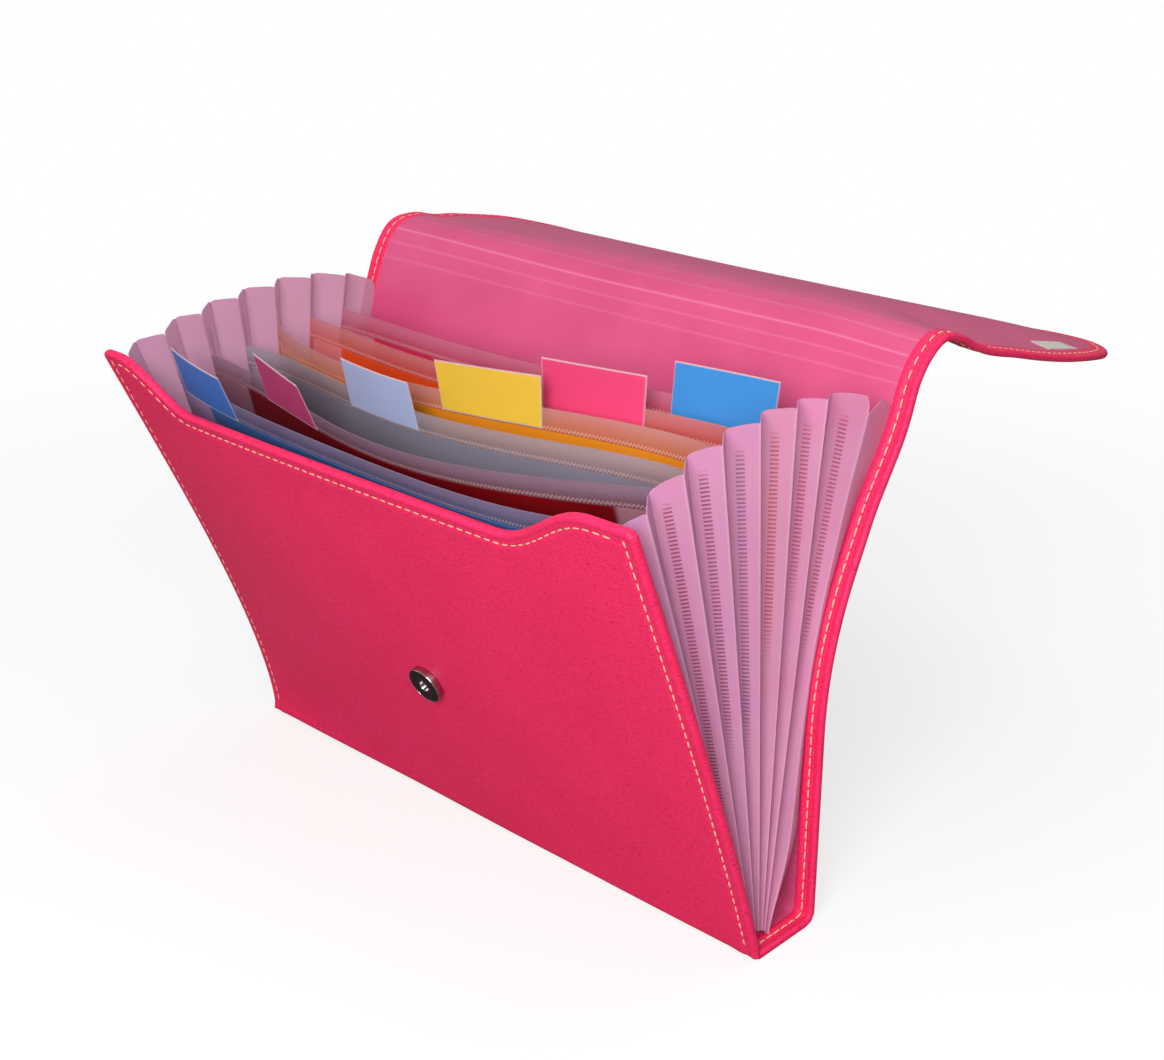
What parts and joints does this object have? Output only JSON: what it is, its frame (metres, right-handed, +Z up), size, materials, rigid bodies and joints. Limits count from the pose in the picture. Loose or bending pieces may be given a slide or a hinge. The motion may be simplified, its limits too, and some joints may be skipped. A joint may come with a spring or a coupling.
{
  "type": "accordion file folder",
  "caption": "Standing accordion file folder with a stitched leather cover, fanned divider pockets with tabs, pleated side gussets and a creased snap flap.",
  "frame": {"origin": "centre of the base's flat underside", "axes": "+Z up, +Y from the front cover to the back cover, +X to the right seen from the front"},
  "size_m": [0.33, 0.4121, 0.2481],
  "materials": {
    "pink_leather": "grained hot pink faux leather",
    "foam_padding": "thin foam sheet",
    "base_board": "grey fibre board",
    "pink_lining": "satin pink polypropylene",
    "frosted_sheet": "frosted translucent polypropylene",
    "frosted_pleats": "frosted translucent polypropylene",
    "colour_1": "satin blue",
    "colour_2": "satin dark red",
    "colour_3": "satin grey",
    "colour_4": "satin orange yellow",
    "colour_5": "satin orange red",
    "colour_6": "satin pink red",
    "card_1": "blue card",
    "card_2": "magenta card",
    "card_3": "pale blue card",
    "card_4": "yellow card",
    "card_5": "pink card",
    "card_6": "blue card",
    "clear_sleeve": "clear film",
    "label_tape": "plain woven tape",
    "snap_magnet": "dark ceramic magnet",
    "snap_metal": "polished nickel"
  },
  "bodies": {
    "root": {"base_leather": "pink_leather", "base_board": "base_board", "back_lower_leather": "pink_leather", "back_lower_padding": "foam_padding", "back_lower_lining": "pink_lining", "pleats_7": "frosted_pleats"},
    "back_upper": {"back_upper_leather": "pink_leather", "back_upper_padding": "foam_padding", "back_upper_lining": "pink_lining"},
    "spine_1": {"spine_1_leather": "pink_leather", "spine_1_lining": "pink_lining"},
    "spine_2": {"spine_2_leather": "pink_leather", "spine_2_lining": "pink_lining"},
    "spine_3": {"spine_3_leather": "pink_leather", "spine_3_lining": "pink_lining"},
    "spine_4": {"spine_4_leather": "pink_leather", "spine_4_lining": "pink_lining"},
    "flap": {"flap_leather": "pink_leather", "flap_padding": "foam_padding", "flap_lining": "pink_lining", "snap_stud": "snap_metal", "snap_stud_washer": "snap_metal", "label_tape": "label_tape"},
    "divider_6": {"divider_sheet_6": "frosted_sheet", "colour_sheet_6": "colour_6", "tab_sleeve_6": "clear_sleeve", "tab_card_6": "card_6", "pleats_6": "frosted_pleats"},
    "divider_5": {"divider_sheet_5": "frosted_sheet", "colour_sheet_5": "colour_5", "tab_sleeve_5": "clear_sleeve", "tab_card_5": "card_5", "pleats_5": "frosted_pleats"},
    "divider_4": {"divider_sheet_4": "frosted_sheet", "colour_sheet_4": "colour_4", "tab_sleeve_4": "clear_sleeve", "tab_card_4": "card_4", "pleats_4": "frosted_pleats"},
    "divider_3": {"divider_sheet_3": "frosted_sheet", "colour_sheet_3": "colour_3", "tab_sleeve_3": "clear_sleeve", "tab_card_3": "card_3", "pleats_3": "frosted_pleats"},
    "divider_2": {"divider_sheet_2": "frosted_sheet", "colour_sheet_2": "colour_2", "tab_sleeve_2": "clear_sleeve", "tab_card_2": "card_2", "pleats_2": "frosted_pleats"},
    "divider_1": {"divider_sheet_1": "frosted_sheet", "colour_sheet_1": "colour_1", "tab_sleeve_1": "clear_sleeve", "tab_card_1": "card_1", "pleats_1": "frosted_pleats"},
    "front_cover": {"front_leather": "pink_leather", "front_padding": "foam_padding", "front_lining": "pink_lining", "snap_cup": "snap_metal", "snap_magnet": "snap_magnet", "snap_cup_washer": "snap_metal"}
  },
  "joints": [
    {"name": "back_bend", "type": "hinge", "parent": "root", "child": "back_upper", "pos_m": [0, 0.0173, 0.128], "axis": [1, 0, 0], "range_deg": [0, 26]},
    {"name": "pocket_7", "type": "hinge", "parent": "root", "child": "divider_6", "pos_m": [0, -0.0201, 0.0026], "axis": [1, 0, 0], "range_deg": [0, 7.81], "deforming": ["pleats_7"]},
    {"name": "pocket_6", "type": "hinge", "parent": "divider_6", "child": "divider_5", "pos_m": [0, -0.0201, 0.0026], "axis": [1, 0, 0], "range_deg": [-5.01, 0], "deforming": ["pleats_6"]},
    {"name": "pocket_5", "type": "hinge", "parent": "divider_5", "child": "divider_4", "pos_m": [0, -0.0201, 0.0026], "axis": [1, 0, 0], "range_deg": [-5.01, 0], "deforming": ["pleats_5"]},
    {"name": "pocket_4", "type": "hinge", "parent": "divider_4", "child": "divider_3", "pos_m": [0, -0.0201, 0.0026], "axis": [1, 0, 0], "range_deg": [-5.01, 0], "deforming": ["pleats_4"]},
    {"name": "pocket_3", "type": "hinge", "parent": "divider_3", "child": "divider_2", "pos_m": [0, -0.0201, 0.0026], "axis": [1, 0, 0], "range_deg": [-5.01, 0], "deforming": ["pleats_3"]},
    {"name": "pocket_2", "type": "hinge", "parent": "divider_2", "child": "divider_1", "pos_m": [0, -0.0201, 0.0026], "axis": [1, 0, 0], "range_deg": [-5.01, 0], "deforming": ["pleats_2"]},
    {"name": "pocket_1", "type": "hinge", "parent": "divider_1", "child": "front_cover", "pos_m": [0, -0.0201, 0.0026], "axis": [1, 0, 0], "range_deg": [-5.01, 0], "deforming": ["pleats_1"]},
    {"name": "crease_1", "type": "hinge", "parent": "back_upper", "child": "spine_1", "pos_m": [0, 0.06881, 0.23361], "axis": [1, 0, 0], "range_deg": [-18, 49]},
    {"name": "crease_2", "type": "hinge", "parent": "spine_1", "child": "spine_2", "pos_m": [0, 0.07782, 0.24231], "axis": [1, 0, 0], "range_deg": [-18.01, 49.01]},
    {"name": "crease_3", "type": "hinge", "parent": "spine_2", "child": "spine_3", "pos_m": [0, 0.08959, 0.24659], "axis": [1, 0, 0], "range_deg": [-18.01, 49.01]},
    {"name": "crease_4", "type": "hinge", "parent": "spine_3", "child": "spine_4", "pos_m": [0, 0.10211, 0.24703], "axis": [1, 0, 0], "range_deg": [-18.01, 49.01]},
    {"name": "crease_5", "type": "hinge", "parent": "spine_4", "child": "flap", "pos_m": [0, 0.11444, 0.24486], "axis": [1, 0, 0], "range_deg": [0, 60.55]}
  ],
  "couplings": [
    {"joint": "pocket_7", "follows": "back_bend", "ratio": 0.29999},
    {"joint": "pocket_6", "follows": "back_bend", "ratio": -0.19231},
    {"joint": "pocket_5", "follows": "back_bend", "ratio": -0.19231},
    {"joint": "pocket_4", "follows": "back_bend", "ratio": -0.19231},
    {"joint": "pocket_3", "follows": "back_bend", "ratio": -0.19231},
    {"joint": "pocket_2", "follows": "back_bend", "ratio": -0.19231},
    {"joint": "pocket_1", "follows": "back_bend", "ratio": -0.19231},
    {"joint": "crease_2", "follows": "crease_1", "ratio": 1},
    {"joint": "crease_3", "follows": "crease_1", "ratio": 1},
    {"joint": "crease_4", "follows": "crease_1", "ratio": 1},
    {"joint": "crease_5", "follows": "back_bend", "ratio": 2.3269}
  ]
}
